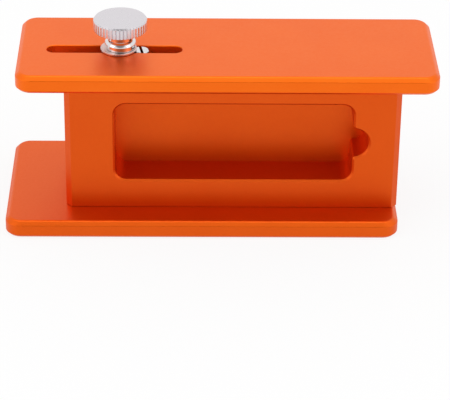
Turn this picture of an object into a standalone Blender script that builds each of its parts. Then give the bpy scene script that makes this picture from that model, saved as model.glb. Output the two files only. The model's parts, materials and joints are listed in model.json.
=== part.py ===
"""Deburring tool with a sliding blade, modelled as its separate pieces.

Two orange plates are screwed to a grip block. A blade carriage runs in a T-shaped groove under
the top plate: a knurled thumb screw clamps it, and a guide screw in the same slot keeps it
straight. Sizes are in metres. The origin is the middle of the footprint at floor level, +Z is
up, +X runs along the plates, and the blade leaves the block at its -X face.
"""

import math

import bmesh
import bpy
from mathutils import Matrix, Vector

# Grip block
BLOCK_LENGTH = 0.1251
BLOCK_WIDTH = 0.0424
BLOCK_HEIGHT = 0.0501
BLOCK_EDGE_RADIUS = 0.0025

# Top and base plates
TOP_WIDTH = 0.0536
TOP_THICKNESS = 0.0068
TOP_OVERHANG_LEFT = 0.0176
TOP_OVERHANG_RIGHT = 0.0133
BASE_WIDTH = 0.0668
BASE_THICKNESS = 0.0067
BASE_OVERHANG_LEFT = 0.0226
PLATE_CORNER_RADIUS = 0.0060
PLATE_EDGE_RADIUS = 0.0018

# Storage pocket and finger notch in the front of the block
POCKET_WALL_LEFT = 0.0185
POCKET_WALL_RIGHT = 0.0176
POCKET_HEIGHT = 0.0317
POCKET_DEPTH = 0.0149
POCKET_ROOF_WALL = 0.0025
POCKET_CORNER_RADIUS = 0.0044
POCKET_MOUTH_CHAMFER = 0.0007
NOTCH_RADIUS = 0.0059

# Slot in the top plate and the wider groove beneath it
SLOT_LENGTH = 0.0507
SLOT_INSET_LEFT = 0.0106
SLOT_CENTRE_Y = -0.0026
GROOVE_DEPTH = 0.0032

# Blade, a heavy-duty trapezoid blade
BLADE_LENGTH = 0.061
BLADE_BACK_LENGTH = 0.034
BLADE_WIDTH = 0.019
BLADE_THICKNESS = 0.00065
BLADE_BEVEL_WIDTH = 0.0022
BLADE_BACK_CHAMFER = 0.0022
BLADE_NOTCH_SPACING = 0.018
BLADE_NOTCH_RADIUS = 0.0018
BLADE_NOTCH_DEPTH = 0.0036
BLADE_PIN_SPACING = 0.0368

# Blade carriage
CARRIER_WIDTH = 0.014
CARRIER_THICKNESS = 0.0046
CARRIER_END = 0.0060
CARRIER_CORNER_RADIUS = 0.0015
CLAMP_LENGTH = 0.046
CLAMP_WIDTH = 0.015
CLAMP_THICKNESS = 0.0018
CLAMP_CORNER_RADIUS = 0.002
BOSS_DIAMETER = 0.0076
BOSS_HEIGHT = 0.0028
PIN_DIAMETER = 0.0024
PIN_STAND = 0.0004

# Thumb screw, from its threaded shank up to the knurled head
THUMB_FROM_SLOT_END = 0.0276
THUMB_THREAD_DIAMETER = 0.005
THREAD_TIP_CHAMFER = 0.0005
THUMB_FOOT_DIAMETER = 0.0110
THUMB_FOOT_HEIGHT = 0.0020
THUMB_BEAD_DIAMETER = 0.0119
THUMB_BEAD_HEIGHT = 0.0017
THUMB_NECK_DIAMETER = 0.0108
THUMB_NECK_HEIGHT = 0.0037
THUMB_FLARE = 0.0012
HEAD_DIAMETER = 0.020
HEAD_HEIGHT = 0.0043
HEAD_CHAMFER = 0.0005
HEAD_TOP_INSET = 0.0002
KNURL_DEPTH = 0.0004
KNURL_TEETH = 45

# Washer under the thumb screw and the slotted guide screw beside it
WASHER_DIAMETER = 0.0135
WASHER_THICKNESS = 0.0008
WASHER_OFFSET = 0.0007
GUIDE_SPACING = 0.0077
GUIDE_DIAMETER = 0.0058
GUIDE_RECESS = 0.0002
GUIDE_SLOT_WIDTH = 0.001
GUIDE_SLOT_DEPTH = 0.0015
GUIDE_SLOT_ANGLE = math.radians(10)

# Screws that hold the top plate, driven from the underside of the block
TOP_SCREW_DIAMETER = 0.003
TOP_SCREW_HEAD_DIAMETER = 0.0055
TOP_SCREW_HEAD_HEIGHT = 0.003
TOP_SCREW_LENGTH = 0.025
TOP_SCREW_ENGAGEMENT = 0.0042
TOP_SOCKET_WIDTH = 0.0029
TOP_SOCKET_DEPTH = 0.0015

# Countersunk screws that hold the base plate
BASE_SCREW_DIAMETER = 0.004
BASE_SCREW_HEAD_DIAMETER = 0.008
BASE_SCREW_LENGTH = 0.012
BASE_SCREW_RECESS = 0.0002
BASE_SOCKET_WIDTH = 0.0029
BASE_SOCKET_DEPTH = 0.0018
BASE_SCREW_FROM_POCKET_END = 0.010
BASE_SCREW_EDGE_DISTANCE = 0.008
SCREW_TIP_CHAMFER = 0.0004

# Dowel pins that line the top plate up with the block
DOWEL_DIAMETER = 0.004
DOWEL_LENGTH = 0.011
DOWEL_IN_PLATE = 0.004

# Fits between pieces
SEAT_GAP = 0.0001
FIT_GAP = 0.0001
SLIDE_GAP = 0.0002
CHANNEL_SIDE_GAP = 0.0004
STOP_GAP = 0.0002
END_GAP = 0.001
HOLE_END_GAP = 0.0005
CUT_MARGIN = 0.002

# Facets of round shapes
CORNER_SEGMENTS = 6
EDGE_SEGMENTS = 3
SMALL_ROUND = 24
LARGE_ROUND = 48
SMOOTH_ANGLE = math.radians(35)
ROUND_PROFILE = 0.5

# Tolerances for picking and welding points
PARALLEL = 0.99
SAME_LEVEL = 1e-7
WELD_DISTANCE = 1e-6

# Places along X: the footprint is centred on the origin
OVERHANG_LEFT = max(TOP_OVERHANG_LEFT, BASE_OVERHANG_LEFT)
BLOCK_LEFT = (OVERHANG_LEFT - BLOCK_LENGTH - TOP_OVERHANG_RIGHT) / 2
BLOCK_RIGHT = BLOCK_LEFT + BLOCK_LENGTH
TOP_LEFT = BLOCK_LEFT - TOP_OVERHANG_LEFT
TOP_RIGHT = BLOCK_RIGHT + TOP_OVERHANG_RIGHT
BASE_LEFT = BLOCK_LEFT - BASE_OVERHANG_LEFT
SLOT_LEFT = TOP_LEFT + SLOT_INSET_LEFT
SLOT_RIGHT = SLOT_LEFT + SLOT_LENGTH
THUMB_X = SLOT_LEFT + THUMB_FROM_SLOT_END
AXIS_FAR_LEFT = SLOT_LEFT + THUMB_THREAD_DIAMETER / 2 + STOP_GAP
AXIS_FAR_RIGHT = SLOT_RIGHT - GUIDE_DIAMETER / 2 - STOP_GAP - GUIDE_SPACING
POCKET_LEFT = BLOCK_LEFT + POCKET_WALL_LEFT
POCKET_RIGHT = BLOCK_RIGHT - POCKET_WALL_RIGHT

# Heights, from the floor up
BLOCK_BOTTOM = BASE_THICKNESS + SEAT_GAP
BLOCK_TOP = BLOCK_BOTTOM + BLOCK_HEIGHT
TOP_BOTTOM = BLOCK_TOP + SEAT_GAP
TOP_FACE = TOP_BOTTOM + TOP_THICKNESS
GROOVE_ROOF = TOP_BOTTOM + GROOVE_DEPTH
CARRIER_TOP = GROOVE_ROOF - SLIDE_GAP
CARRIER_BOTTOM = CARRIER_TOP - CARRIER_THICKNESS
BLADE_TOP = CARRIER_BOTTOM - SEAT_GAP
BLADE_BOTTOM = BLADE_TOP - BLADE_THICKNESS
CLAMP_TOP = BLADE_BOTTOM - SEAT_GAP
CLAMP_BOTTOM = CLAMP_TOP - CLAMP_THICKNESS
CHANNEL_FLOOR = CLAMP_BOTTOM - SLIDE_GAP
POCKET_TOP = CHANNEL_FLOOR - POCKET_ROOF_WALL
POCKET_BOTTOM = POCKET_TOP - POCKET_HEIGHT
WASHER_BOTTOM = TOP_FACE + SEAT_GAP
THUMB_FOOT = WASHER_BOTTOM + WASHER_THICKNESS + SEAT_GAP

# Widths that follow from what runs inside them
SLOT_WIDTH = GUIDE_DIAMETER + 2 * SLIDE_GAP
CHANNEL_WIDTH = BLADE_WIDTH + 2 * CHANNEL_SIDE_GAP
CHANNEL_FRONT = SLOT_CENTRE_Y - CHANNEL_WIDTH / 2
BLOCK_FRONT = -BLOCK_WIDTH / 2
TOP_SCREW_Y = (BLOCK_FRONT + CHANNEL_FRONT) / 2
TOP_SCREW_LEFT = BLOCK_LEFT + POCKET_WALL_LEFT / 2
TOP_SCREW_RIGHT = BLOCK_RIGHT - (POCKET_WALL_RIGHT - NOTCH_RADIUS) / 2
TOP_SCREW_TIP = TOP_BOTTOM + TOP_SCREW_ENGAGEMENT
TOP_SCREW_SEAT = TOP_SCREW_TIP - TOP_SCREW_LENGTH

ORANGE = (0.80, 0.13, 0.015, 1.0)
NICKEL = (0.78, 0.77, 0.78, 1.0)
BLADE_STEEL = (0.42, 0.43, 0.44, 1.0)
BLACK_STEEL = (0.05, 0.05, 0.055, 1.0)


def clear_scene():
    for item in list(bpy.data.objects):
        bpy.data.objects.remove(item, do_unlink=True)


def make_collection(name):
    collection = bpy.data.collections.new(name)
    bpy.context.scene.collection.children.link(collection)
    return collection


def make_material(name, colour, roughness, metallic):
    material = bpy.data.materials.new(name)
    material.use_nodes = True
    shader = material.node_tree.nodes["Principled BSDF"]
    shader.inputs["Base Color"].default_value = colour
    shader.inputs["Roughness"].default_value = roughness
    shader.inputs["Metallic"].default_value = metallic
    return material


clear_scene()
PARTS = make_collection("deburring_tool")
CUTTERS = make_collection("cutters")
ANODISED = make_material("orange_anodised", ORANGE, 0.38, 1.0)
PLATED = make_material("nickel_plated", NICKEL, 0.18, 1.0)
HARDENED = make_material("blade_steel", BLADE_STEEL, 0.32, 1.0)
BLACKENED = make_material("black_oxide", BLACK_STEEL, 0.45, 1.0)


def part(name, shape, material, parent=None):
    """Makes a named piece from a bmesh."""
    mesh = bpy.data.meshes.new(name)
    bmesh.ops.recalc_face_normals(shape, faces=shape.faces)
    shape.to_mesh(mesh)
    shape.free()
    piece = bpy.data.objects.new(name, mesh)
    PARTS.objects.link(piece)
    mesh.materials.append(material)
    mesh.shade_smooth()
    mesh.set_sharp_from_angle(angle=SMOOTH_ANGLE)
    piece.parent = parent
    return piece


def cutter(name, shape, parent=None):
    """Makes a hidden shape that is only cut out of, or joined to, a piece."""
    mesh = bpy.data.meshes.new(name)
    bmesh.ops.recalc_face_normals(shape, faces=shape.faces)
    shape.to_mesh(mesh)
    shape.free()
    tool = bpy.data.objects.new(name, mesh)
    CUTTERS.objects.link(tool)
    tool.hide_render = True
    tool.display_type = "WIRE"
    tool.parent = parent
    return tool


def combine(piece, tool, operation="DIFFERENCE"):
    modifier = piece.modifiers.new(tool.name, "BOOLEAN")
    modifier.operation = operation
    modifier.object = tool
    modifier.solver = "EXACT"


def box(low, high):
    shape = bmesh.new()
    size = Vector(high) - Vector(low)
    middle = (Vector(high) + Vector(low)) / 2
    bmesh.ops.create_cube(shape, size=1.0, matrix=Matrix.Translation(middle) @ Matrix.Diagonal(size.to_4d()))
    return shape


def round_edges(shape, axis, radius, segments):
    """Rounds the edges of a box that run along one axis (0, 1 or 2)."""
    edges = []
    for edge in shape.edges:
        direction = (edge.verts[1].co - edge.verts[0].co).normalized()
        if abs(direction[axis]) > PARALLEL:
            edges.append(edge)
    bmesh.ops.bevel(shape, geom=edges, offset=radius, segments=segments, profile=ROUND_PROFILE, affect="EDGES")
    return shape


def round_rims(shape, radius, segments):
    """Rounds the edges round the top and bottom faces of a plate."""
    heights = [vertex.co.z for vertex in shape.verts]
    rims = []
    for edge in shape.edges:
        ends = [vertex.co.z for vertex in edge.verts]
        for level in (min(heights), max(heights)):
            if all(math.isclose(end, level, abs_tol=SAME_LEVEL) for end in ends):
                rims.append(edge)
    bmesh.ops.bevel(shape, geom=rims, offset=radius, segments=segments, profile=ROUND_PROFILE, affect="EDGES")
    return shape


def plate(left, right, width, bottom, thickness):
    shape = box((left, -width / 2, bottom), (right, width / 2, bottom + thickness))
    round_edges(shape, 2, PLATE_CORNER_RADIUS, CORNER_SEGMENTS)
    return round_rims(shape, PLATE_EDGE_RADIUS, EDGE_SEGMENTS)


def loft(rings, hollow=False):
    """A shape through rings of as many points each: capped at both ends, or hollow like a washer."""
    shape = bmesh.new()
    layers = [[shape.verts.new(point) for point in ring] for ring in rings]
    count = len(layers[0])
    pairs = list(zip(layers, layers[1:]))
    if hollow:
        pairs.append((layers[-1], layers[0]))
    else:
        shape.faces.new(reversed(layers[0]))
        shape.faces.new(layers[-1])
    for lower, upper in pairs:
        for i in range(count):
            j = (i + 1) % count
            shape.faces.new((lower[i], lower[j], upper[j], upper[i]))
    return shape


def merged(shapes):
    """One bmesh from several that don't touch, so that they are cut out together."""
    whole = bmesh.new()
    for shape in shapes:
        mesh = bpy.data.meshes.new("shape")
        bmesh.ops.recalc_face_normals(shape, faces=shape.faces)
        shape.to_mesh(mesh)
        shape.free()
        whole.from_mesh(mesh)
        bpy.data.meshes.remove(mesh)
    return whole


def stepped_round(steps, x=0.0, y=0.0, sides=SMALL_ROUND, hollow=False):
    """A round shape from (diameter, height) steps, from the bottom up."""
    rings = []
    for diameter, height in steps:
        rings.append([(px, py, height) for px, py in circle(diameter, x, y, sides)])
    return loft(rings, hollow)


def upright_cylinder(diameter, bottom, top, x=0.0, y=0.0, sides=SMALL_ROUND):
    shape = bmesh.new()
    place = Matrix.Translation((x, y, (bottom + top) / 2))
    radius = diameter / 2
    bmesh.ops.create_cone(
        shape, cap_ends=True, segments=sides, radius1=radius, radius2=radius, depth=top - bottom, matrix=place
    )
    return shape


def arc(centre, radius, start, end, steps):
    """Points of an arc from one angle to another, both in degrees."""
    points = []
    for step in range(steps + 1):
        angle = math.radians(start + (end - start) * step / steps)
        points.append((centre[0] + radius * math.cos(angle), centre[1] + radius * math.sin(angle)))
    return points


def flat_outline(loops, bottom, top):
    """A flat shape from closed outlines: the first is the rim and the others are holes."""
    curve = bpy.data.curves.new("outline", "CURVE")
    curve.dimensions = "2D"
    curve.fill_mode = "BOTH"
    curve.extrude = (top - bottom) / 2
    for loop in loops:
        spline = curve.splines.new("POLY")
        spline.points.add(len(loop) - 1)
        for point, (x, y) in zip(spline.points, loop):
            point.co = (x, y, 0.0, 1.0)
        spline.use_cyclic_u = True
    holder = bpy.data.objects.new("outline", curve)
    CUTTERS.objects.link(holder)
    bpy.context.view_layer.update()
    mesh = bpy.data.meshes.new_from_object(holder.evaluated_get(bpy.context.evaluated_depsgraph_get()))
    shape = bmesh.new()
    shape.from_mesh(mesh)
    bmesh.ops.remove_doubles(shape, verts=shape.verts, dist=WELD_DISTANCE)
    bmesh.ops.translate(shape, verts=shape.verts, vec=(0, 0, (bottom + top) / 2))
    bpy.data.objects.remove(holder)
    bpy.data.meshes.remove(mesh)
    return shape


def circle(diameter, x=0.0, y=0.0, sides=SMALL_ROUND):
    return arc((x, y), diameter / 2, 0, 360 * (sides - 1) / sides, sides - 1)


def slot_shape(left, right, y, width, bottom, top):
    """A slot with half-round ends."""
    radius = width / 2
    half = SMALL_ROUND // 2
    outline = arc((right - radius, y), radius, -90, 90, half) + arc((left + radius, y), radius, 90, 270, half)
    return flat_outline([outline], bottom, top)


def corner_places(xs, y):
    """Four places: both X values at the front and at the back."""
    return [(x, side * y) for x in xs for side in (-1, 1)]


TOP_SCREW_PLACES = corner_places((TOP_SCREW_LEFT, TOP_SCREW_RIGHT), abs(TOP_SCREW_Y))
BASE_SCREW_PLACES = corner_places(
    (POCKET_LEFT + BASE_SCREW_FROM_POCKET_END, POCKET_RIGHT - BASE_SCREW_FROM_POCKET_END),
    BLOCK_WIDTH / 2 - BASE_SCREW_EDGE_DISTANCE,
)
DOWEL_PLACES = [
    (POCKET_LEFT, (SLOT_CENTRE_Y + CHANNEL_WIDTH / 2 - BLOCK_FRONT) / 2),
    (POCKET_RIGHT, (SLOT_CENTRE_Y + CHANNEL_WIDTH / 2 - BLOCK_FRONT) / 2),
]
DOWEL_TOP = TOP_BOTTOM + DOWEL_IN_PLATE
DOWEL_BOTTOM = DOWEL_TOP - DOWEL_LENGTH
BASE_SCREW_HEAD_DEPTH = (BASE_SCREW_HEAD_DIAMETER - BASE_SCREW_DIAMETER) / 2
BASE_SCREW_TIP = BASE_SCREW_RECESS + BASE_SCREW_LENGTH


def make_top_plate():
    top_plate = part("top_plate", plate(TOP_LEFT, TOP_RIGHT, TOP_WIDTH, TOP_BOTTOM, TOP_THICKNESS), ANODISED)
    below = TOP_BOTTOM - CUT_MARGIN
    above = TOP_FACE + CUT_MARGIN
    slot = slot_shape(SLOT_LEFT, SLOT_RIGHT, SLOT_CENTRE_Y, SLOT_WIDTH, below, above)
    combine(top_plate, cutter("slot", slot))
    half = CARRIER_WIDTH / 2 + SLIDE_GAP
    groove = box(
        (AXIS_FAR_LEFT - CARRIER_END - END_GAP, SLOT_CENTRE_Y - half, below),
        (AXIS_FAR_RIGHT + GUIDE_SPACING + CARRIER_END + END_GAP, SLOT_CENTRE_Y + half, GROOVE_ROOF),
    )
    round_edges(groove, 2, CARRIER_CORNER_RADIUS, EDGE_SEGMENTS)
    cuts = [groove]
    for x, y in TOP_SCREW_PLACES:
        bore = TOP_SCREW_DIAMETER + 2 * FIT_GAP
        cuts.append(upright_cylinder(bore, below, TOP_SCREW_TIP + HOLE_END_GAP, x, y))
    for x, y in DOWEL_PLACES:
        cuts.append(upright_cylinder(DOWEL_DIAMETER + 2 * FIT_GAP, below, DOWEL_TOP + HOLE_END_GAP, x, y))
    combine(top_plate, cutter("groove_and_holes", merged(cuts)))


def pocket_ring(y, grow):
    """The outline of the pocket with its half-round finger notch, widened by grow."""
    left = POCKET_LEFT - grow
    right = POCKET_RIGHT + grow
    bottom = POCKET_BOTTOM - grow
    top = POCKET_TOP + grow
    corner = POCKET_CORNER_RADIUS + grow
    notch = NOTCH_RADIUS + grow
    spread = math.degrees(math.acos(grow / notch))
    outline = arc((right - corner, bottom + corner), corner, -90, 0, CORNER_SEGMENTS)
    outline += arc((POCKET_RIGHT, (bottom + top) / 2), notch, -spread, spread, SMALL_ROUND)
    outline += arc((right - corner, top - corner), corner, 0, 90, CORNER_SEGMENTS)
    outline += arc((left + corner, top - corner), corner, 90, 180, CORNER_SEGMENTS)
    outline += arc((left + corner, bottom + corner), corner, 180, 270, CORNER_SEGMENTS)
    return [(x, y, z) for x, z in outline]


def pocket_shape():
    """The storage pocket, which flares at its mouth to break the sharp edge there."""
    sections = [
        (BLOCK_FRONT - CUT_MARGIN, POCKET_MOUTH_CHAMFER + CUT_MARGIN),
        (BLOCK_FRONT + POCKET_MOUTH_CHAMFER, 0.0),
        (BLOCK_FRONT + POCKET_DEPTH, 0.0),
    ]
    return loft([pocket_ring(y, grow) for y, grow in sections])


def make_grip_block():
    shape = box((BLOCK_LEFT, BLOCK_FRONT, BLOCK_BOTTOM), (BLOCK_RIGHT, -BLOCK_FRONT, BLOCK_TOP))
    block = part("grip_block", round_edges(shape, 2, BLOCK_EDGE_RADIUS, EDGE_SEGMENTS), ANODISED)
    channel = box(
        (BLOCK_LEFT - CUT_MARGIN, CHANNEL_FRONT, CHANNEL_FLOOR),
        (AXIS_FAR_RIGHT + BLADE_LENGTH / 2 + END_GAP, CHANNEL_FRONT + CHANNEL_WIDTH, BLOCK_TOP + CUT_MARGIN),
    )
    cuts = [pocket_shape(), channel]
    below = BLOCK_BOTTOM - CUT_MARGIN
    above = BLOCK_TOP + CUT_MARGIN
    head = TOP_SCREW_HEAD_DIAMETER + 2 * SLIDE_GAP
    shank = TOP_SCREW_DIAMETER + 2 * SLIDE_GAP
    for x, y in TOP_SCREW_PLACES:
        steps = [(head, below), (head, TOP_SCREW_SEAT), (shank, TOP_SCREW_SEAT), (shank, above)]
        cuts.append(stepped_round(steps, x, y))
    for x, y in BASE_SCREW_PLACES:
        bore = BASE_SCREW_DIAMETER + 2 * FIT_GAP
        cuts.append(upright_cylinder(bore, below, BASE_SCREW_TIP + HOLE_END_GAP, x, y))
    for x, y in DOWEL_PLACES:
        cuts.append(upright_cylinder(DOWEL_DIAMETER + 2 * FIT_GAP, DOWEL_BOTTOM - HOLE_END_GAP, above, x, y))
    combine(block, cutter("pocket_channel_and_holes", merged(cuts)))


def make_base_plate():
    base = part("base_plate", plate(BASE_LEFT, BLOCK_RIGHT, BASE_WIDTH, 0.0, BASE_THICKNESS), ANODISED)
    wide = BASE_SCREW_HEAD_DIAMETER + 2 * FIT_GAP
    narrow = BASE_SCREW_DIAMETER + 2 * FIT_GAP
    seat_top = BASE_SCREW_RECESS + BASE_SCREW_HEAD_DEPTH
    above = BASE_THICKNESS + CUT_MARGIN
    steps = [(wide, -CUT_MARGIN), (wide, BASE_SCREW_RECESS), (narrow, seat_top), (narrow, above)]
    combine(base, cutter("countersinks", merged([stepped_round(steps, x, y) for x, y in BASE_SCREW_PLACES])))


def hex_socket(name, width, bottom, top, piece):
    socket = cutter(name, upright_cylinder(width, bottom, top, sides=6), parent=piece)
    combine(piece, socket)


def make_top_screws():
    """Socket screws that stand head down in the block and reach up into the top plate."""
    seat = -SEAT_GAP
    underside = seat - TOP_SCREW_HEAD_HEIGHT
    steps = [
        (TOP_SCREW_HEAD_DIAMETER, underside),
        (TOP_SCREW_HEAD_DIAMETER, seat),
        (TOP_SCREW_DIAMETER, seat),
        (TOP_SCREW_DIAMETER, TOP_SCREW_LENGTH - SCREW_TIP_CHAMFER),
        (TOP_SCREW_DIAMETER - 2 * SCREW_TIP_CHAMFER, TOP_SCREW_LENGTH),
    ]
    for number, (x, y) in enumerate(TOP_SCREW_PLACES, 1):
        screw = part(f"top_screw_{number}", stepped_round(steps), BLACKENED)
        screw.location = (x, y, TOP_SCREW_SEAT)
        socket_top = underside + TOP_SOCKET_DEPTH
        hex_socket(f"top_socket_{number}", TOP_SOCKET_WIDTH, underside - CUT_MARGIN, socket_top, screw)


def make_base_screws():
    """Countersunk socket screws that sit just below the underside of the base plate."""
    steps = [
        (BASE_SCREW_HEAD_DIAMETER, 0.0),
        (BASE_SCREW_DIAMETER, BASE_SCREW_HEAD_DEPTH),
        (BASE_SCREW_DIAMETER, BASE_SCREW_LENGTH - SCREW_TIP_CHAMFER),
        (BASE_SCREW_DIAMETER - 2 * SCREW_TIP_CHAMFER, BASE_SCREW_LENGTH),
    ]
    for number, (x, y) in enumerate(BASE_SCREW_PLACES, 1):
        screw = part(f"base_screw_{number}", stepped_round(steps), BLACKENED)
        screw.location = (x, y, BASE_SCREW_RECESS)
        hex_socket(f"base_socket_{number}", BASE_SOCKET_WIDTH, -CUT_MARGIN, BASE_SOCKET_DEPTH, screw)


def make_dowel_pins():
    for number, (x, y) in enumerate(DOWEL_PLACES, 1):
        pin = part(f"dowel_pin_{number}", upright_cylinder(DOWEL_DIAMETER, DOWEL_BOTTOM, DOWEL_TOP), PLATED)
        pin.location = (x, y, 0)


def blade_outline():
    """The blade seen from above, with its cutting edge along -Y and its notches along +Y."""
    half = BLADE_WIDTH / 2
    long_half = BLADE_LENGTH / 2
    back_half = BLADE_BACK_LENGTH / 2
    end_run = Vector((long_half - back_half, -BLADE_WIDTH)).normalized() * BLADE_BACK_CHAMFER
    floor = half - BLADE_NOTCH_DEPTH + BLADE_NOTCH_RADIUS
    outline = [(-long_half, -half), (long_half, -half), (back_half + end_run.x, half + end_run.y)]
    outline.append((back_half - BLADE_BACK_CHAMFER, half))
    for side in (1, -1):
        centre = side * BLADE_NOTCH_SPACING / 2
        outline.append((centre + BLADE_NOTCH_RADIUS, half))
        outline += arc((centre, floor), BLADE_NOTCH_RADIUS, 0, -180, SMALL_ROUND // 2)
        outline.append((centre - BLADE_NOTCH_RADIUS, half))
    outline.append((-back_half + BLADE_BACK_CHAMFER, half))
    outline.append((-back_half - end_run.x, half + end_run.y))
    return outline


def make_blade(carriage):
    holes = [circle(BOSS_DIAMETER + 2 * SLIDE_GAP, sides=LARGE_ROUND)]
    for side in (-1, 1):
        holes.append(circle(PIN_DIAMETER + 2 * FIT_GAP, side * BLADE_PIN_SPACING / 2))
    outlines = [blade_outline()] + holes
    blade = part("blade", flat_outline(outlines, BLADE_BOTTOM, BLADE_TOP), HARDENED, carriage)
    slope = math.atan2(BLADE_THICKNESS / 2 - SEAT_GAP / 2, BLADE_BEVEL_WIDTH)
    edge_y = -BLADE_WIDTH / 2
    middle = (BLADE_TOP + BLADE_BOTTOM) / 2
    for side, name in ((1, "upper_grind"), (-1, "lower_grind")):
        reach = BLADE_LENGTH / 2 + CUT_MARGIN
        wedge = box((-reach, -CUT_MARGIN, 0), (reach, BLADE_BEVEL_WIDTH + CUT_MARGIN, CUT_MARGIN))
        if side < 0:
            bmesh.ops.scale(wedge, vec=(1, 1, -1), verts=wedge.verts)
        turn = Matrix.Rotation(side * slope, 4, "X")
        lift = Matrix.Translation((0, edge_y, middle + side * SEAT_GAP / 2))
        bmesh.ops.transform(wedge, matrix=lift @ turn, verts=wedge.verts)
        combine(blade, cutter(name, wedge, carriage))


def make_carrier(carriage):
    shape = box(
        (-CARRIER_END, -CARRIER_WIDTH / 2, CARRIER_BOTTOM),
        (GUIDE_SPACING + CARRIER_END, CARRIER_WIDTH / 2, CARRIER_TOP),
    )
    carrier = part(
        "blade_carrier", round_edges(shape, 2, CARRIER_CORNER_RADIUS, EDGE_SEGMENTS), BLACKENED, carriage
    )
    below = CARRIER_BOTTOM - CUT_MARGIN
    above = CARRIER_TOP + CUT_MARGIN
    boss_top = CLAMP_TOP + BOSS_HEIGHT + SLIDE_GAP
    boss = BOSS_DIAMETER + 2 * SLIDE_GAP
    thread = THUMB_THREAD_DIAMETER + 2 * SLIDE_GAP
    screw_hole = stepped_round([(boss, below), (boss, boss_top), (thread, boss_top), (thread, above)])
    guide_hole = upright_cylinder(GUIDE_DIAMETER + 2 * FIT_GAP, below, above, GUIDE_SPACING)
    combine(carrier, cutter("carrier_holes", merged([screw_hole, guide_hole]), carriage))


def make_clamp(carriage):
    shape = box(
        (-CLAMP_LENGTH / 2, -CLAMP_WIDTH / 2, CLAMP_BOTTOM), (CLAMP_LENGTH / 2, CLAMP_WIDTH / 2, CLAMP_TOP)
    )
    clamp = part(
        "blade_clamp", round_edges(shape, 2, CLAMP_CORNER_RADIUS, EDGE_SEGMENTS), BLACKENED, carriage
    )
    inside = CLAMP_TOP - CLAMP_THICKNESS / 2
    boss = upright_cylinder(BOSS_DIAMETER, inside, CLAMP_TOP + BOSS_HEIGHT, sides=LARGE_ROUND)
    combine(clamp, cutter("boss", boss, carriage), "UNION")
    below = CLAMP_BOTTOM - CUT_MARGIN
    above = CLAMP_TOP + BOSS_HEIGHT + CUT_MARGIN
    holes = [upright_cylinder(THUMB_THREAD_DIAMETER + 2 * FIT_GAP, below, above)]
    pin_bottom = CLAMP_BOTTOM + SLIDE_GAP
    pin_top = BLADE_TOP + PIN_STAND
    for side, name in ((-1, "left"), (1, "right")):
        x = side * BLADE_PIN_SPACING / 2
        holes.append(upright_cylinder(PIN_DIAMETER + 2 * FIT_GAP, below, above, x))
        pin = part(f"blade_pin_{name}", upright_cylinder(PIN_DIAMETER, pin_bottom, pin_top), PLATED, carriage)
        pin.location = (x, 0, 0)
    combine(clamp, cutter("clamp_holes", merged(holes), carriage))


def make_guide_screw(carriage):
    bottom = CARRIER_BOTTOM + SLIDE_GAP
    top = TOP_FACE - GUIDE_RECESS
    screw = part("guide_screw", upright_cylinder(GUIDE_DIAMETER, bottom, top), PLATED, carriage)
    screw.location = (GUIDE_SPACING, 0, 0)
    half = GUIDE_SLOT_WIDTH / 2
    slot = box((-half, -GUIDE_DIAMETER, top - GUIDE_SLOT_DEPTH), (half, GUIDE_DIAMETER, top + CUT_MARGIN))
    bmesh.ops.rotate(slot, verts=slot.verts, matrix=Matrix.Rotation(GUIDE_SLOT_ANGLE, 3, "Z"))
    combine(screw, cutter("driver_slot", slot, screw))


def make_washer(carriage):
    """A loose washer that lies a little to the left of the thumb screw's axis."""
    bore = THUMB_THREAD_DIAMETER + 2 * (WASHER_OFFSET + FIT_GAP)
    top = WASHER_BOTTOM + WASHER_THICKNESS
    steps = [(bore, WASHER_BOTTOM), (WASHER_DIAMETER, WASHER_BOTTOM), (WASHER_DIAMETER, top), (bore, top)]
    washer = part("thumb_washer", stepped_round(steps, sides=LARGE_ROUND, hollow=True), PLATED, carriage)
    washer.location = (-WASHER_OFFSET, 0, 0)


def knurl_ring(crest, root, height):
    """A ring whose points lie by turns on the crests and in the valleys of a straight knurl."""
    points = []
    for i in range(2 * KNURL_TEETH):
        angle = math.pi * i / KNURL_TEETH
        radius = root if i % 2 else crest
        points.append((radius * math.cos(angle), radius * math.sin(angle), height))
    return points


def make_thumb_screw(carriage):
    foot = THUMB_FOOT_DIAMETER / 2
    bead = THUMB_BEAD_DIAMETER / 2
    neck = THUMB_NECK_DIAMETER / 2
    thread = THUMB_THREAD_DIAMETER / 2
    crest = HEAD_DIAMETER / 2
    root = crest - KNURL_DEPTH
    bead_bottom = THUMB_FOOT + THUMB_FOOT_HEIGHT
    bead_top = bead_bottom + THUMB_BEAD_HEIGHT
    head_bottom = bead_top + THUMB_NECK_HEIGHT
    head_top = head_bottom + HEAD_HEIGHT
    shoulder = head_top - HEAD_CHAMFER
    tip = CLAMP_BOTTOM + SLIDE_GAP
    bead_round = THUMB_BEAD_HEIGHT / 2
    profile = [(thread - THREAD_TIP_CHAMFER, tip), (thread, tip + THREAD_TIP_CHAMFER), (thread, THUMB_FOOT)]
    profile += [(foot, THUMB_FOOT), (foot, bead_bottom)]
    profile += arc((bead - bead_round, bead_bottom + bead_round), bead_round, -90, 90, 2 * EDGE_SEGMENTS)
    profile.append((neck, bead_top))
    profile += arc((neck + THUMB_FLARE, head_bottom - THUMB_FLARE), THUMB_FLARE, 180, 90, EDGE_SEGMENTS)
    rings = [knurl_ring(radius, radius, height) for radius, height in profile]
    rings.append(knurl_ring(root, root, head_bottom))
    rings.append(knurl_ring(crest, root, head_bottom + KNURL_DEPTH))
    rings.append(knurl_ring(crest, root, shoulder - KNURL_DEPTH))
    rings.append(knurl_ring(root, root, shoulder))
    rings.append(knurl_ring(root - HEAD_TOP_INSET, root - HEAD_TOP_INSET, head_top))
    part("thumb_screw", loft(rings), PLATED, carriage)


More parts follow.
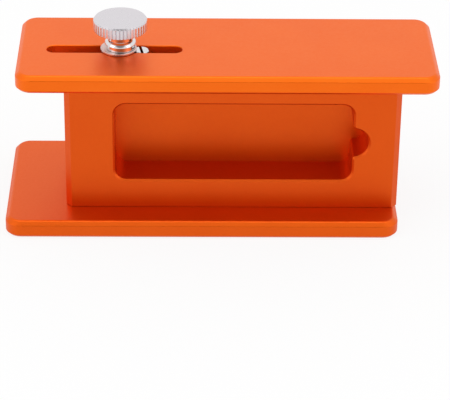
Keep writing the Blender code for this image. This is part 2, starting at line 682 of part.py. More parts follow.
def make_carriage():
    """Everything that slides with the blade, placed about the axis of the thumb screw."""
    carriage = bpy.data.objects.new("carriage", None)
    carriage.location = (THUMB_X, SLOT_CENTRE_Y, 0)
    PARTS.objects.link(carriage)
    make_carrier(carriage)
    make_blade(carriage)
    make_clamp(carriage)
    make_guide_screw(carriage)
    make_washer(carriage)
    make_thumb_screw(carriage)


make_top_plate()
make_grip_block()
make_base_plate()
make_top_screws()
make_base_screws()
make_dowel_pins()
make_carriage()
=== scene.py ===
"""Looks of the deburring tool: finished pieces, materials, studio light and the photograph's camera.

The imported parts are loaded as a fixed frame. The pieces that show are rebuilt here with finer
edges round the same sizes, and every surface gets a procedural material. Units are metres.
"""

import json
import math

import bmesh
import bpy
from mathutils import Matrix, Vector


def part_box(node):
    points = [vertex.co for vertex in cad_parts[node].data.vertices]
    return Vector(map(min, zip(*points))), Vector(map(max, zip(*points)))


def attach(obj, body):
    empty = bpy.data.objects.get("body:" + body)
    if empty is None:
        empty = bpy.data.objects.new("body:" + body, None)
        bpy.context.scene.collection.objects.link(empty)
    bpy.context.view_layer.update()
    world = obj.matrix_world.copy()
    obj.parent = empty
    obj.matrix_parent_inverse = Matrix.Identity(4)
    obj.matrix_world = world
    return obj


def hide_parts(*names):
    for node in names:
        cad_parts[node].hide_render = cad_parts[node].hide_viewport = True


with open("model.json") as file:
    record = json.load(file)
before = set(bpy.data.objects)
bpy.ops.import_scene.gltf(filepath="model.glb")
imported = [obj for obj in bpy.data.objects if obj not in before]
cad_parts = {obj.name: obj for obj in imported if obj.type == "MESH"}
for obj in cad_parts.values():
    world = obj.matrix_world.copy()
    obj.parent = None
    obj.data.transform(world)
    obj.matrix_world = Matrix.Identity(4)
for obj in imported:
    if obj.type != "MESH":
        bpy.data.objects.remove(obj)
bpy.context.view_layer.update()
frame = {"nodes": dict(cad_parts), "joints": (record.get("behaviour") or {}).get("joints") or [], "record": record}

# Edges of the plates and the block
PLATE_CORNER_RADIUS = 0.0060
PLATE_CHAMFER = 0.0016
PLATE_UNDER_CHAMFER = 0.0011
PLATE_TOP_BLEND = 0.0014
PLATE_SIDE_BLEND = 0.0004
BLOCK_CHAMFER = 0.0021
CHAMFER_DEGREES = 45

# Pocket in the block's front, with a finger notch in its right wall
POCKET_WALL_LEFT = 0.0185
POCKET_WALL_RIGHT = 0.0176
POCKET_BOTTOM = 0.01835
POCKET_TOP = 0.05005
POCKET_DEPTH = 0.0149
POCKET_CORNER_RADIUS = 0.0044
NOTCH_RADIUS = 0.0059
NOTCH_BLEND = 0.0012
MOUTH_CHAMFER = 0.0007

# Slot and groove in the top plate, and the channel below them in the block
SLOT_INSET_LEFT = 0.0106
SLOT_LENGTH = 0.0507
SLOT_WIDTH = 0.0062
SLOT_CHAMFER = 0.00025
GROOVE_DEPTH = 0.0032
GROOVE_WIDTH = 0.0144
GROOVE_LEFT = -0.0692
GROOVE_RIGHT = -0.0103
CHANNEL_WIDTH = 0.0198
CHANNEL_FLOOR = 0.05255
CHANNEL_RIGHT = 0.0065

# Screws that hold the plates
TOP_SCREW_RADIUS = 0.0015
TOP_SCREW_HEAD_HEIGHT = 0.0030
BASE_SCREW_RADIUS = 0.0020

# Thumb screw, upwards from the washer
THREAD_RADIUS = 0.0025
FOOT_RADIUS = 0.0055
FOOT_HEIGHT = 0.0020
BEAD_RADIUS = 0.0060
BEAD_HEIGHT = 0.0017
BEAD_ARC_DEGREES = (12, 60)
NECK_HEIGHT = 0.0037
NECK_FLARE = 0.0012
HEAD_RADIUS = 0.0100
HEAD_CHAMFER = 0.0002
HEAD_TOP_INSET = 0.00015
KNURL_DEPTH = 0.0003
KNURL_TEETH = 45
KNURL_CREST_SHARE = 0.62
KNURL_EDGE = 0.0001
KNURL_RUNOUT = 0.0004

# Washer, guide screw and the ends of both turned screws
WASHER_BORE_RADIUS = 0.0033
WASHER_EDGE = 0.00015
DRIVER_SLOT_WIDTH = 0.001
DRIVER_SLOT_DEPTH = 0.0015
DRIVER_SLOT_ANGLE = math.radians(10)
SCREW_CHAMFER = 0.0003

# Gap round the screws and pins and under the thumb screw's foot
FIT_GAP = 0.0001

# How far a cutter stands out of what it cuts
CUT_MARGIN = 0.002

# Facets
CORNER_STEPS = 12
POCKET_STEPS = 24
EDGE_STEPS = 6
BEAD_STEPS = 12
ROUND_STEPS = 64
SMOOTH_ANGLE = math.radians(32)

# Roughness of the anodised faces
BLASTED = (0.38, 0.46)
COARSE_BLASTED = (0.42, 0.50)
END_MILLED = (0.62, 0.72)

# Grain of the materials: noise scales in cycles a metre, and the relief that they raise
NOISE_RANGE = (0.3, 0.7)
NOISE_DETAIL = 3.0
DYE_DRIFT_SCALE = 45.0
BLAST_SCALE = 900.0
BLAST_RELIEF_SCALE = 5200.0
BLAST_RELIEF_DETAIL = 2.0
BLAST_RELIEF = {"Strength": 0.10, "Distance": 0.00005}
SEAL_WEIGHT = 0.22
SEAL_ROUGHNESS = 0.35
PLATING_SCALE = 700.0
STEEL_RELIEF = {"Strength": 0.08, "Distance": 0.00003}

# Floor: painted shade darkens its tone nearer the tool, and it glows by the kind of ray that sees it
FLOOR_HALF_SIZE = 6.0
FLOOR_DROP = 0.0002
FLOOR_ROUGHNESS = 0.9
FLOOR_PAINTED_SHADE_REACH = (0.075, 0.150)
FLOOR_TONE_WITH_PAINTED_SHADE = (0.85, 0.90)
FLOOR_GLOW = {"Is Camera Ray": 0.88, "Is Transmission Ray": 0.88, "Is Glossy Ray": 0.50}

# Studio: its level falls towards the dark side, between two cosines of the angle to it
WHITE = (1.0, 1.0, 1.0)
STUDIO_LEVELS = (0.95, 0.25)
DARK_SIDE = (0.0, -0.80, 0.60)
DARK_SIDE_COSINES = (0.82, 0.95)

# Lamps, all turned to the tool's middle
LAMP_TARGET = (0.0, 0.0, 0.04)
OVERHEAD_PLACE = (0.0, -0.15, 0.95)
OVERHEAD_SIZE = (1.0, 0.5)
OVERHEAD_WATTS = 2.1
SIDE_DISTANCE = 0.85
SIDE_FRONT = -0.50
SIDE_HEIGHT = 0.38
SIDE_SIZE = (0.5, 0.5)
SIDE_WATTS = 0.7

# Camera, from a fit to the edges in the photograph
IMAGE_WIDTH_PX = 450
FOCAL_PX = 2191.54
SENSOR_MM = 36.0
CLIP_START = 0.01
CAMERA_PLACE = (-0.01303, -0.74137, 0.42007)
CAMERA_PITCH = math.radians(29.667)
CAMERA_YAW = math.radians(1.202)
CAMERA_ROLL = math.radians(0.801)

top_low, top_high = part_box("top_plate")
block_low, block_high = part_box("grip_block")
base_low, base_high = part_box("base_plate")
thumb_joint = next(joint for joint in frame["joints"] if joint["name"] == "thumb_turn")
thumb_axis = Vector(thumb_joint["pos_m"])


# Outlines


def arc_profile(centre_x, centre_y, radius, start, end, steps):
    """Points of an arc in a plane, with its angles in degrees."""
    points = []
    for step in range(steps + 1):
        angle = math.radians(start + (end - start) * step / steps)
        points.append((centre_x + radius * math.cos(angle), centre_y + radius * math.sin(angle)))
    return points


def level_arc(x, y, z, radius, start, turn, steps):
    """Points of an arc that lies flat at height z."""
    return [Vector((*point, z)) for point in arc_profile(x, y, radius, start, start + turn, steps)]


def rounded_rectangle(low, high, radius, inset, z, steps=CORNER_STEPS):
    """A ring round a rectangle with round corners, drawn in by inset; one step makes chamfered corners."""
    left, right = low[0] + radius, high[0] - radius
    front, back = low[1] + radius, high[1] - radius
    ring = []
    for x, y, start in ((right, back, 0), (left, back, 90), (left, front, 180), (right, front, 270)):
        ring += level_arc(x, y, z, radius - inset, start, 90, steps)
    return ring


def stadium(left, right, y, radius, z):
    """A ring round a slot with half-round ends, whose centres are at left and right."""
    ring = []
    for x, start in ((right, -90), (left, 90)):
        ring += level_arc(x, y, z, radius, start, 180, ROUND_STEPS // 2)
    return ring


def turned_ring(radius, z, centre):
    ring = []
    for step in range(ROUND_STEPS):
        angle = math.tau * step / ROUND_STEPS
        ring.append(centre + Vector((radius * math.cos(angle), radius * math.sin(angle), z)))
    return ring


def knurl_ring(crest, root, z, centre):
    """A ring of straight knurl teeth, each a wide crest and a narrow groove."""
    tooth_points = (
        (0.0, crest),
        (KNURL_CREST_SHARE / 2, crest),
        (KNURL_CREST_SHARE, crest),
        ((1 + KNURL_CREST_SHARE) / 2, root),
    )
    ring = []
    for tooth in range(KNURL_TEETH):
        for share, radius in tooth_points:
            angle = math.tau * (tooth + share) / KNURL_TEETH
            ring.append(centre + Vector((radius * math.cos(angle), radius * math.sin(angle), z)))
    return ring


def chamfer_profile(leg, side_blend, face_blend):
    """Points (inset, distance from the face) of a chamfer with a round at both of its ends."""
    half_tangent = math.tan(math.radians(CHAMFER_DEGREES / 2))
    side_end = leg + side_blend * half_tangent
    face_end = leg + face_blend * half_tangent
    rounds = ((side_blend, side_blend, side_end, 0), (face_blend, face_end, face_blend, CHAMFER_DEGREES))
    points = []
    for blend, inset, below, start in rounds:
        for step in range(EDGE_STEPS + 1):
            angle = math.radians(start + CHAMFER_DEGREES * step / EDGE_STEPS)
            points.append((inset - blend * math.cos(angle), below - blend * math.sin(angle)))
    return points


def bead_profile(bottom):
    """The thumb screw's bead (radius, height): widest at its bottom and drawn in to the neck."""
    start, end = (math.radians(angle) for angle in BEAD_ARC_DEGREES)
    radius = BEAD_HEIGHT / (math.sin(end) - math.sin(start))
    centre_radius = BEAD_RADIUS - radius * math.cos(start)
    centre_z = bottom - radius * math.sin(start)
    return arc_profile(centre_radius, centre_z, radius, *BEAD_ARC_DEGREES, BEAD_STEPS)


def pocket_ring(y, grow):
    """The outline of the pocket with its half-round finger notch, widened by grow."""
    left = block_low.x + POCKET_WALL_LEFT - grow
    right = block_high.x - POCKET_WALL_RIGHT + grow
    bottom = POCKET_BOTTOM - grow
    top = POCKET_TOP + grow
    corner = POCKET_CORNER_RADIUS + grow
    notch = NOTCH_RADIUS + grow
    blend = NOTCH_BLEND - grow
    notch_x, notch_z = right - grow, (bottom + top) / 2
    # Each blend touches both the wall and the notch's arc
    rise = math.sqrt((notch + blend) ** 2 - NOTCH_BLEND**2)
    turn = math.degrees(math.asin(rise / (notch + blend)))
    arcs = (
        (right - corner, bottom + corner, corner, -90, 0),
        (right + blend, notch_z - rise, blend, 180, 180 - turn),
        (notch_x, notch_z, notch, -turn, turn),
        (right + blend, notch_z + rise, blend, 180 + turn, 180),
        (right - corner, top - corner, corner, 0, 90),
        (left + corner, top - corner, corner, 90, 180),
        (left + corner, bottom + corner, corner, 180, 270),
    )
    return [Vector((x, y, z)) for arc in arcs for x, z in arc_profile(*arc, POCKET_STEPS)]


# Solids


def loft(rings, hollow=False):
    """A solid through rings of as many points each: capped at both ends, or hollow like a washer."""
    shape = bmesh.new()
    layers = [[shape.verts.new(point) for point in ring] for ring in rings]
    count = len(layers[0])
    pairs = list(zip(layers, layers[1:]))
    if hollow:
        pairs.append((layers[-1], layers[0]))
    else:
        shape.faces.new(reversed(layers[0]))
        shape.faces.new(layers[-1])
    for lower, upper in pairs:
        for i in range(count):
            j = (i + 1) % count
            shape.faces.new((lower[i], lower[j], upper[j], upper[i]))
    bmesh.ops.recalc_face_normals(shape, faces=shape.faces)
    return shape


def turned(profile, centre, hollow=False):
    """A round solid from a profile of (radius, height)."""
    return loft([turned_ring(radius, z, centre) for radius, z in profile], hollow)


def round_cutter(centre, steps):
    """A stepped hole round an upright screw or pin, with a small gap to it."""
    return turned([(radius + FIT_GAP, z) for radius, z in steps], centre)


def box(low, high):
    shape = bmesh.new()
    size = Vector(high) - Vector(low)
    middle = (Vector(high) + Vector(low)) / 2
    place = Matrix.Translation(middle) @ Matrix.Diagonal(size.to_4d())
    bmesh.ops.create_cube(shape, size=1.0, matrix=place)
    return shape


def merged(shapes):
    """One shape out of several that don't touch."""
    whole = bmesh.new()
    for shape in shapes:
        mesh = bpy.data.meshes.new("merged")
        shape.to_mesh(mesh)
        shape.free()
        whole.from_mesh(mesh)
        bpy.data.meshes.remove(mesh)
    return whole


def new_object(name, shape):
    mesh = bpy.data.meshes.new(name)
    shape.to_mesh(mesh)
    shape.free()
    item = bpy.data.objects.new(name, mesh)
    bpy.context.scene.collection.objects.link(item)
    return item


def carve(item, *shapes):
    """Cuts shapes out of an object and keeps the cut mesh."""
    tools = []
    for shape in shapes:
        tool = new_object(item.name + "_cutter", shape)
        tools.append(tool)
        cut = item.modifiers.new("cut", "BOOLEAN")
        cut.operation = "DIFFERENCE"
        cut.solver = "EXACT"
        cut.object = tool
    bpy.context.view_layer.update()
    evaluated = item.evaluated_get(bpy.context.evaluated_depsgraph_get())
    old = item.data
    item.data = bpy.data.meshes.new_from_object(evaluated)
    item.modifiers.clear()
    bpy.data.meshes.remove(old)
    for tool in tools:
        bpy.data.objects.remove(tool, do_unlink=True)


def plate(name, low, high):
    """A plate with round corners and softly chamfered rims, as a stack of rings."""
    under = chamfer_profile(PLATE_UNDER_CHAMFER, PLATE_SIDE_BLEND, PLATE_SIDE_BLEND)
    over = chamfer_profile(PLATE_CHAMFER, PLATE_SIDE_BLEND, PLATE_TOP_BLEND)
    levels = [(inset, low.z + above) for inset, above in reversed(under)]
    levels += [(inset, high.z - below) for inset, below in over]
    rings = [rounded_rectangle(low, high, PLATE_CORNER_RADIUS, inset, z) for inset, z in levels]
    return new_object(name, loft(rings))


def dress(item, node, body, material):
    """Gives a finished piece its shading, material and body, and hides the node that it stands for."""
    item.data.materials.clear()
    item.data.materials.append(material)
    item.data.shade_smooth()
    item.data.set_sharp_from_angle(angle=SMOOTH_ANGLE)
    weighted = item.modifiers.new("flat faces stay flat", "WEIGHTED_NORMAL")
    weighted.keep_sharp = True
    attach(item, body)
    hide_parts(node)


def repaint(item, material, chosen):
    """Gives the faces whose middle is chosen a second material."""
    item.data.materials.append(material)
    for face in item.data.polygons:
        if chosen(face.center):
            face.material_index = 1


# Materials


def opaque(colour):
    return (*colour, 1.0)


def new_material(name):
    material = bpy.data.materials.new(name)
    material.use_nodes = True
    shader = material.node_tree.nodes["Principled BSDF"]
    return material, material.node_tree, shader


def add_node(tree, kind, **settings):
    """A new node, with settings for its sockets or its own options."""
    node = tree.nodes.new(kind)
    for key, value in settings.items():
        if key in node.inputs:
            node.inputs[key].default_value = value
        else:
            setattr(node, key, value)
    return node


def object_noise(tree, scale, detail=NOISE_DETAIL):
    place = add_node(tree, "ShaderNodeTexCoord")
    noise = add_node(tree, "ShaderNodeTexNoise", Scale=scale, Detail=detail)
    tree.links.new(place.outputs["Object"], noise.inputs["Vector"])
    return noise.outputs["Fac"]


def ranged(tree, value, source, target, interpolation="LINEAR"):
    """A value mapped from one range to another."""
    span = add_node(tree, "ShaderNodeMapRange", interpolation_type=interpolation)
    span.inputs["From Min"].default_value, span.inputs["From Max"].default_value = source
    span.inputs["To Min"].default_value, span.inputs["To Max"].default_value = target
    tree.links.new(value, span.inputs["Value"])
    return span.outputs["Result"]


def add_relief(tree, shader, height, settings):
    bump = add_node(tree, "ShaderNodeBump", **settings)
    tree.links.new(height, bump.inputs["Height"])
    tree.links.new(bump.outputs["Normal"], shader.inputs["Normal"])


def anodised_material(name, dye_and_shade_colours, roughness):
    """Orange anodised aluminium: fine blasted grain and a colour that drifts faintly between two tones. On the top
    plate these are the dye; on the base, block and slot they are darker, redder copies that carry painted shade.
    """
    material, tree, shader = new_material(name)
    shader.inputs["Metallic"].default_value = 1.0
    shader.inputs["Coat Weight"].default_value = SEAL_WEIGHT
    shader.inputs["Coat Roughness"].default_value = SEAL_ROUGHNESS
    dye_and_shade_mix = add_node(tree, "ShaderNodeMix", data_type="RGBA")
    dye_and_shade_mix.inputs["A"].default_value, dye_and_shade_mix.inputs["B"].default_value = (opaque(colour) for colour in dye_and_shade_colours)
    drift = ranged(tree, object_noise(tree, DYE_DRIFT_SCALE), NOISE_RANGE, (0.0, 1.0))
    tree.links.new(drift, dye_and_shade_mix.inputs["Factor"])
    tree.links.new(dye_and_shade_mix.outputs["Result"], shader.inputs["Base Color"])
    gloss = ranged(tree, object_noise(tree, BLAST_SCALE), NOISE_RANGE, roughness)
    tree.links.new(gloss, shader.inputs["Roughness"])
    add_relief(tree, shader, object_noise(tree, BLAST_RELIEF_SCALE, BLAST_RELIEF_DETAIL), BLAST_RELIEF)
    return material


def plated_material(name, colour, roughness):
    """Nickel plating whose gloss varies a little."""
    material, tree, shader = new_material(name)
    shader.inputs["Metallic"].default_value = 1.0
    shader.inputs["Base Color"].default_value = opaque(colour)
    gloss = ranged(tree, object_noise(tree, PLATING_SCALE), NOISE_RANGE, roughness)
    tree.links.new(gloss, shader.inputs["Roughness"])
    return material


def steel_material(name, colour, roughness, grain_scale):
    """Steel with a fine grain in its roughness and relief."""
    material, tree, shader = new_material(name)
    shader.inputs["Metallic"].default_value = 1.0
    shader.inputs["Base Color"].default_value = opaque(colour)
    grain = object_noise(tree, grain_scale)
    tree.links.new(ranged(tree, grain, NOISE_RANGE, roughness), shader.inputs["Roughness"])
    add_relief(tree, shader, grain, STEEL_RELIEF)
    return material


TOP_FINISH = anodised_material(
    "orange_anodised_top", dye_and_shade_colours=((0.94, 0.150, 0.002), (0.96, 0.162, 0.004)), roughness=BLASTED
)
# Painted shade: the slot's walls take a redder, darker copy of the anodising for the light bounced and lost inside
# the slot; their rougher end-milled gloss is real.
SLOT_PAINTED_SHADE_FINISH = anodised_material(
    "orange_anodised_slot_painted_shade", dye_and_shade_colours=((0.97, 0.104, 0.002), (0.99, 0.114, 0.003)), roughness=END_MILLED
)
# Painted shade: the base plate takes a darker copy of the top plate's anodising, for the shade it lies in beside
# the block.
BASE_PAINTED_SHADE_FINISH = anodised_material(
    "orange_anodised_base_painted_shade", dye_and_shade_colours=((0.82, 0.112, 0.001), (0.84, 0.120, 0.002)), roughness=COARSE_BLASTED
)
# Painted shade: the block takes a still darker copy, for the shade it stands in below the top plate.
BLOCK_PAINTED_SHADE_FINISH = anodised_material(
    "orange_anodised_block_painted_shade", dye_and_shade_colours=((0.77, 0.093, 0.001), (0.79, 0.101, 0.002)), roughness=COARSE_BLASTED
)
BRIGHT_NICKEL = plated_material("bright_nickel_finish", colour=(0.78, 0.76, 0.765), roughness=(0.10, 0.18))
SATIN_NICKEL = plated_material("satin_nickel_finish", colour=(0.735, 0.705, 0.735), roughness=(0.26, 0.34))
WASHER_NICKEL = plated_material("washer_nickel_finish", colour=(0.74, 0.57, 0.54), roughness=(0.30, 0.38))
BLADE_STEEL = steel_material(
    "blade_steel_finish", colour=(0.50, 0.51, 0.52), roughness=(0.24, 0.36), grain_scale=2400.0
)
GROUND_STEEL = steel_material(
    "ground_steel_finish", colour=(0.60, 0.60, 0.61), roughness=(0.20, 0.30), grain_scale=3000.0
)
# Black oxide for the black oxide screws, and painted shade inside the guide screw's driver slot.
BLACK_OXIDE_AND_PAINTED_SHADE = steel_material(
    "black_oxide_and_painted_shade_finish", colour=(0.045, 0.045, 0.05), roughness=(0.38, 0.52), grain_scale=2000.0
)


# Pieces


def nodes_named(start):
    """The names of the nodes that share a start, in order."""
    return sorted(name for name in frame["nodes"] if name.startswith(start))


def upright(node):
    """The centre, largest radius, bottom and top of an upright round node."""
    low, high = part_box(node)
    return Vector(((low.x + high.x) / 2, (low.y + high.y) / 2, 0)), (high.x - low.x) / 2, low.z, high.z


def finish_cad_nodes():
    """The nodes that aren't rebuilt keep their mesh and get finished materials."""
    finishes = {
        "orange_anodised": TOP_FINISH,
        "nickel_plated": BRIGHT_NICKEL,
        "blade_steel": BLADE_STEEL,
        "ground_steel": GROUND_STEEL,
        "black_oxide": BLACK_OXIDE_AND_PAINTED_SHADE,
    }
    for row in frame["record"]["subparts"]:
        node = frame["nodes"][row["node"]]
        node.data.materials.clear()
        node.data.materials.append(finishes[row["material_slot"]])


def make_top_plate():
    item = plate("top_plate_finished", top_low, top_high)
    below = top_low.z - CUT_MARGIN
    slot_left = top_low.x + SLOT_INSET_LEFT
    slot_right = slot_left + SLOT_LENGTH
    slot_radius = SLOT_WIDTH / 2
    slot_rim = top_high.z - SLOT_CHAMFER
    ends = (slot_left + slot_radius, slot_right - slot_radius, thumb_axis.y)
    walls = (
        (slot_radius, below),
        (slot_radius, slot_rim),
        (slot_radius + SLOT_CHAMFER + CUT_MARGIN, top_high.z + CUT_MARGIN),
    )
    slot = loft([stadium(*ends, radius, z) for radius, z in walls])
    groove = box(
        (GROOVE_LEFT, thumb_axis.y - GROOVE_WIDTH / 2, below),
        (GROOVE_RIGHT, thumb_axis.y + GROOVE_WIDTH / 2, top_low.z + GROOVE_DEPTH),
    )
    holes = []
    for node in nodes_named("top_screw"):
        centre, _, _, top = upright(node)
        holes.append(round_cutter(centre, ((TOP_SCREW_RADIUS, below), (TOP_SCREW_RADIUS, top + FIT_GAP))))
    for node in nodes_named("dowel_pin"):
        centre, radius, _, top = upright(node)
        holes.append(round_cutter(centre, ((radius, below), (radius, top + FIT_GAP))))
    carve(item, slot, groove, merged(holes))
    dress(item, "top_plate", "body", TOP_FINISH)

    def in_shaded_slot(middle):
        beside = abs(middle.y - thumb_axis.y) < slot_radius + FIT_GAP
        return beside and slot_left - FIT_GAP < middle.x < slot_right + FIT_GAP and middle.z < slot_rim

    # The slot's walls get the copy of the anodising that carries painted shade.
    repaint(item, SLOT_PAINTED_SHADE_FINISH, in_shaded_slot)


def make_grip_block():
    ends = (block_low.z, block_high.z)
    rings = [rounded_rectangle(block_low, block_high, BLOCK_CHAMFER, 0.0, z, steps=1) for z in ends]
    item = new_object("grip_block_finished", loft(rings))
    front = block_low.y
    sections = (
        (front - CUT_MARGIN, MOUTH_CHAMFER),
        (front, MOUTH_CHAMFER),
        (front + MOUTH_CHAMFER, 0.0),
        (front + POCKET_DEPTH, 0.0),
    )
    pocket = loft([pocket_ring(y, grow) for y, grow in sections])
    below, above = block_low.z - CUT_MARGIN, block_high.z + CUT_MARGIN
    channel = box(
        (block_low.x - CUT_MARGIN, thumb_axis.y - CHANNEL_WIDTH / 2, CHANNEL_FLOOR),
        (CHANNEL_RIGHT, thumb_axis.y + CHANNEL_WIDTH / 2, above),
    )
    holes = []
    for node in nodes_named("top_screw"):
        centre, head, bottom, _ = upright(node)
        seat = bottom + TOP_SCREW_HEAD_HEIGHT
        steps = ((head, below), (head, seat), (TOP_SCREW_RADIUS, seat), (TOP_SCREW_RADIUS, above))
        holes.append(round_cutter(centre, steps))
    for node in nodes_named("base_screw"):
        centre, _, _, top = upright(node)
        holes.append(round_cutter(centre, ((BASE_SCREW_RADIUS, below), (BASE_SCREW_RADIUS, top + FIT_GAP))))
    for node in nodes_named("dowel_pin"):
        centre, radius, bottom, _ = upright(node)
        holes.append(round_cutter(centre, ((radius, bottom - FIT_GAP), (radius, above))))
    carve(item, pocket, channel, merged(holes))
    dress(item, "grip_block", "body", BLOCK_PAINTED_SHADE_FINISH)


def make_base_plate():
    item = plate("base_plate_finished", base_low, base_high)
    below, above = base_low.z - CUT_MARGIN, base_high.z + CUT_MARGIN
    holes = []
    for node in nodes_named("base_screw"):
        centre, head, bottom, _ = upright(node)
        seat = bottom + head - BASE_SCREW_RADIUS
        steps = ((head, below), (head, bottom), (BASE_SCREW_RADIUS, seat), (BASE_SCREW_RADIUS, above))
        holes.append(round_cutter(centre, steps))
    carve(item, merged(holes))
    dress(item, "base_plate", "body", BASE_PAINTED_SHADE_FINISH)


def make_thumb_screw():
    """One loft from the shank to the knurled head, so its round rings have the knurl's points too."""
    low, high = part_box("thumb_screw")
    centre = Vector((thumb_axis.x, thumb_axis.y, 0))
    foot_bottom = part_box("thumb_washer")[1].z + FIT_GAP
    bead_bottom = foot_bottom + FOOT_HEIGHT
    head_bottom = bead_bottom + BEAD_HEIGHT + NECK_HEIGHT
    shoulder = high.z - HEAD_CHAMFER
    shank = [
        (THREAD_RADIUS - SCREW_CHAMFER, low.z),
        (THREAD_RADIUS, low.z + SCREW_CHAMFER),
        (THREAD_RADIUS, foot_bottom),
    ]
    foot = [(FOOT_RADIUS, foot_bottom), (FOOT_RADIUS, bead_bottom)]
    bead = bead_profile(bead_bottom)
    neck_radius = bead[-1][0]
    flare = arc_profile(neck_radius + NECK_FLARE, head_bottom - NECK_FLARE, NECK_FLARE, 180, 90, EDGE_STEPS)
    root = HEAD_RADIUS - KNURL_DEPTH
    crests = (
        (HEAD_RADIUS - KNURL_EDGE, head_bottom),
        (HEAD_RADIUS, head_bottom + KNURL_EDGE),
        (HEAD_RADIUS, shoulder - KNURL_RUNOUT),
        (root, shoulder),
    )
    top = root - HEAD_TOP_INSET
    rings = [knurl_ring(radius, radius, z, centre) for radius, z in shank + foot + bead + flare]
    rings += [knurl_ring(crest, root, z, centre) for crest, z in crests]
    rings.append(knurl_ring(top, top, high.z, centre))
    item = new_object("thumb_screw_finished", loft(rings))
    dress(item, "thumb_screw", "thumb", BRIGHT_NICKEL)

    def in_head(middle):
        return middle.z > head_bottom

    repaint(item, SATIN_NICKEL, in_head)


def make_washer():
    centre, rim, bottom, top = upright("thumb_washer")
    profile = (
        (WASHER_BORE_RADIUS, bottom),
        (rim - WASHER_EDGE, bottom),
        (rim, bottom + WASHER_EDGE),
        (rim, top - WASHER_EDGE),
        (rim - WASHER_EDGE, top),
        (WASHER_BORE_RADIUS, top),
    )
    item = new_object("thumb_washer_finished", turned(profile, centre, hollow=True))
    dress(item, "thumb_washer", "washer", WASHER_NICKEL)


def make_guide_screw():
    centre, radius, bottom, top = upright("guide_screw")
    profile = (
        (radius - SCREW_CHAMFER, bottom),
        (radius, bottom + SCREW_CHAMFER),
        (radius, top - SCREW_CHAMFER),
        (radius - SCREW_CHAMFER, top),
    )
    item = new_object("guide_screw_finished", turned(profile, centre))
    half = DRIVER_SLOT_WIDTH / 2
    slot_floor = top - DRIVER_SLOT_DEPTH
    slot = box((-half, -2 * radius, slot_floor), (half, 2 * radius, top + CUT_MARGIN))
    turn = Matrix.Translation(centre) @ Matrix.Rotation(DRIVER_SLOT_ANGLE, 4, "Z")
    bmesh.ops.transform(slot, matrix=turn, verts=slot.verts)
    carve(item, slot)
    dress(item, "guide_screw", "carriage", BRIGHT_NICKEL)
    unturn = turn.inverted()

    def in_shaded_slot(middle):
        across = (unturn @ middle).x
        return abs(across) < half + FIT_GAP and slot_floor - FIT_GAP < middle.z < top - FIT_GAP

    # Painted shade: the faces inside the driver slot take the black finish in place of the slot's shade; the screw
    # itself is nickel.
    repaint(item, BLACK_OXIDE_AND_PAINTED_SHADE, in_shaded_slot)


# Studio


def mixed_shader(tree, share, first, second):
    mix = add_node(tree, "ShaderNodeMixShader")
    tree.links.new(share, mix.inputs["Fac"])
    tree.links.new(first, mix.inputs[1])
    tree.links.new(second, mix.inputs[2])
    return mix.outputs["Shader"]


def floor_glow_share(tree):
    """How much a ray sees of the floor's own glow, as a sum over the kinds of ray."""
    light_path = add_node(tree, "ShaderNodeLightPath")
    share = None
    for ray, amount in FLOOR_GLOW.items():
        part = add_node(tree, "ShaderNodeMath", operation="MULTIPLY_ADD")
        tree.links.new(light_path.outputs[ray], part.inputs[0])
        part.inputs[1].default_value = amount
        part.inputs[2].default_value = 0.0
        if share:
            tree.links.new(share, part.inputs[2])
        share = part.outputs["Value"]
    return share


def floor_material():
    """White, with painted shade that makes it a little greyer round the tool, and clear from underneath."""
    material, tree, shader = new_material("white_floor")
    shader.inputs["Roughness"].default_value = FLOOR_ROUGHNESS
    place = add_node(tree, "ShaderNodeTexCoord")
    distance = add_node(tree, "ShaderNodeVectorMath", operation="LENGTH")
    tree.links.new(place.outputs["Object"], distance.inputs[0])
    # Painted shade: the floor's colour is darker nearer the tool.
    shaded_tone = ranged(tree, distance.outputs["Value"], FLOOR_PAINTED_SHADE_REACH, FLOOR_TONE_WITH_PAINTED_SHADE, "SMOOTHSTEP")
    tree.links.new(shaded_tone, shader.inputs["Base Color"])
    glow = add_node(tree, "ShaderNodeEmission")
    upper = mixed_shader(tree, floor_glow_share(tree), shader.outputs["BSDF"], glow.outputs["Emission"])
    sides = add_node(tree, "ShaderNodeNewGeometry")
    clear = add_node(tree, "ShaderNodeBsdfTransparent")
    surface = mixed_shader(tree, sides.outputs["Backfacing"], upper, clear.outputs["BSDF"])
    tree.links.new(surface, tree.nodes["Material Output"].inputs["Surface"])
    return material


def make_floor():
    shape = bmesh.new()
    bmesh.ops.create_grid(shape, x_segments=1, y_segments=1, size=FLOOR_HALF_SIZE)
    floor = new_object("floor", shape)
    floor.location.z = -FLOOR_DROP
    floor.data.materials.append(floor_material())


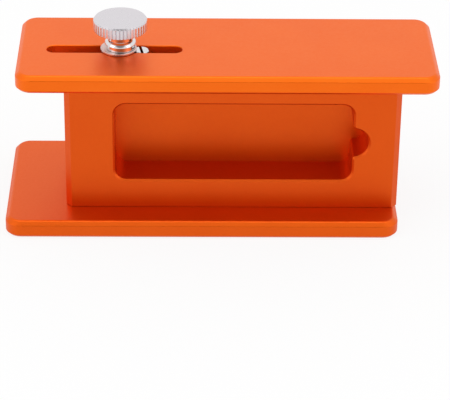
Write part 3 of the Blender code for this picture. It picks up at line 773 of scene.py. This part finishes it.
def make_world():
    """A pale studio that is darker only on the side that the photograph was taken from."""
    world = bpy.data.worlds.new("studio")
    bpy.context.scene.world = world
    world.use_nodes = True
    tree = world.node_tree
    background = tree.nodes["Background"]
    background.inputs["Color"].default_value = opaque(WHITE)
    place = add_node(tree, "ShaderNodeTexCoord")
    towards = add_node(tree, "ShaderNodeVectorMath", operation="DOT_PRODUCT")
    tree.links.new(place.outputs["Generated"], towards.inputs[0])
    towards.inputs[1].default_value = DARK_SIDE
    level = ranged(tree, towards.outputs["Value"], DARK_SIDE_COSINES, STUDIO_LEVELS, "SMOOTHSTEP")
    tree.links.new(level, background.inputs["Strength"])


def add_area_light(name, place, size, watts):
    data = bpy.data.lights.new(name, "AREA")
    data.shape = "RECTANGLE"
    data.size, data.size_y = size
    data.energy = watts
    lamp = bpy.data.objects.new(name, data)
    lamp.location = place
    lamp.rotation_euler = (Vector(LAMP_TARGET) - Vector(place)).to_track_quat("-Z", "Y").to_euler()
    bpy.context.scene.collection.objects.link(lamp)


def make_lights():
    add_area_light("overhead", OVERHEAD_PLACE, OVERHEAD_SIZE, OVERHEAD_WATTS)
    for name, across in (("side_left", -SIDE_DISTANCE), ("side_right", SIDE_DISTANCE)):
        add_area_light(name, (across, SIDE_FRONT, SIDE_HEIGHT), SIDE_SIZE, SIDE_WATTS)


def make_camera():
    data = bpy.data.cameras.new("camera")
    data.sensor_width = SENSOR_MM
    data.lens = FOCAL_PX * SENSOR_MM / IMAGE_WIDTH_PX
    data.clip_start = CLIP_START
    camera = bpy.data.objects.new("camera", data)
    flat = math.cos(CAMERA_PITCH)
    forward = Vector((math.sin(CAMERA_YAW) * flat, math.cos(CAMERA_YAW) * flat, -math.sin(CAMERA_PITCH)))
    right = forward.cross(Vector((0, 0, 1))).normalized()
    up = right.cross(forward)
    rolled_right = math.cos(CAMERA_ROLL) * right + math.sin(CAMERA_ROLL) * up
    rolled_up = math.cos(CAMERA_ROLL) * up - math.sin(CAMERA_ROLL) * right
    turn = Matrix((rolled_right, rolled_up, -forward)).transposed().to_4x4()
    camera.matrix_world = Matrix.Translation(CAMERA_PLACE) @ turn
    bpy.context.scene.collection.objects.link(camera)
    bpy.context.scene.camera = camera


finish_cad_nodes()
make_top_plate()
make_grip_block()
make_base_plate()
make_thumb_screw()
make_washer()
make_guide_screw()
make_floor()
make_world()
make_lights()
make_camera()
bpy.context.scene.view_settings.view_transform = "Standard"
